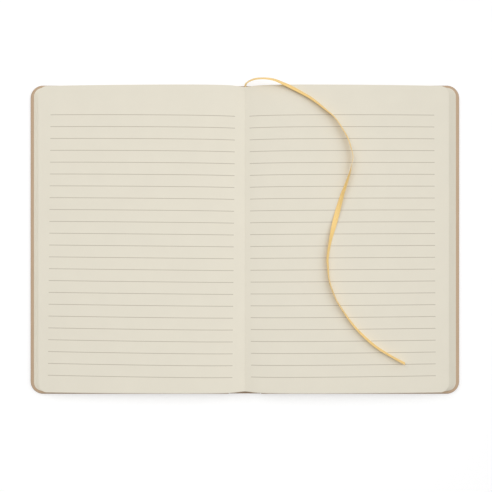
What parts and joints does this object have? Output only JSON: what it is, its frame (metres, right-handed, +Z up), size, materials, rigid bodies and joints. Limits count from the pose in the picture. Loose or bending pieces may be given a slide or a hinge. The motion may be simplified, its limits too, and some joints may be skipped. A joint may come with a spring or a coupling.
{
  "type": "notebook",
  "caption": "Case-bound ruled notebook with rounded corners and a ribbon marker, lying open; both covers swing up with their pages and shut it.",
  "frame": {"origin": "middle of the open book on the table: gutter, half way from head to tail, at the surface it lies on", "axes": "+X across the right page, +Y to the head of the pages, +Z up"},
  "size_m": [0.292, 0.2128, 0.0142],
  "materials": {
    "covering_paper": "matt kraft paper",
    "board": "grey-brown binder's board",
    "gauze": "open cotton weave, glued",
    "thread": "waxed thread",
    "page_paper": "uncoated cream paper",
    "ruling_ink": "matt grey-brown ink on paper",
    "ribbon_satin": "satin weave"
  },
  "bodies": {
    "spine": {"spine_wrap": "covering_paper", "spine_strip": "board", "spine_lining": "gauze", "sewing_thread": "thread"},
    "front_cover": {"front_board": "board", "front_wrap": "covering_paper", "front_endpaper": "page_paper", "front_pages": "page_paper", "front_ruling": "ruling_ink"},
    "back_cover": {"back_board": "board", "back_wrap": "covering_paper", "back_endpaper": "page_paper", "back_pages": "page_paper", "back_ruling": "ruling_ink", "ribbon": "ribbon_satin"}
  },
  "joints": [
    {"name": "front_cover_hinge", "type": "hinge", "parent": "spine", "child": "front_cover", "pos_m": [-0.0046, 0, 0.00605], "axis": [0, 1, 0], "range_deg": [0, 90], "deforming": ["ribbon"]},
    {"name": "back_cover_hinge", "type": "hinge", "parent": "spine", "child": "back_cover", "pos_m": [0.0046, 0, 0.00605], "axis": [0, -1, 0], "range_deg": [0, 90], "deforming": ["ribbon"]}
  ]
}
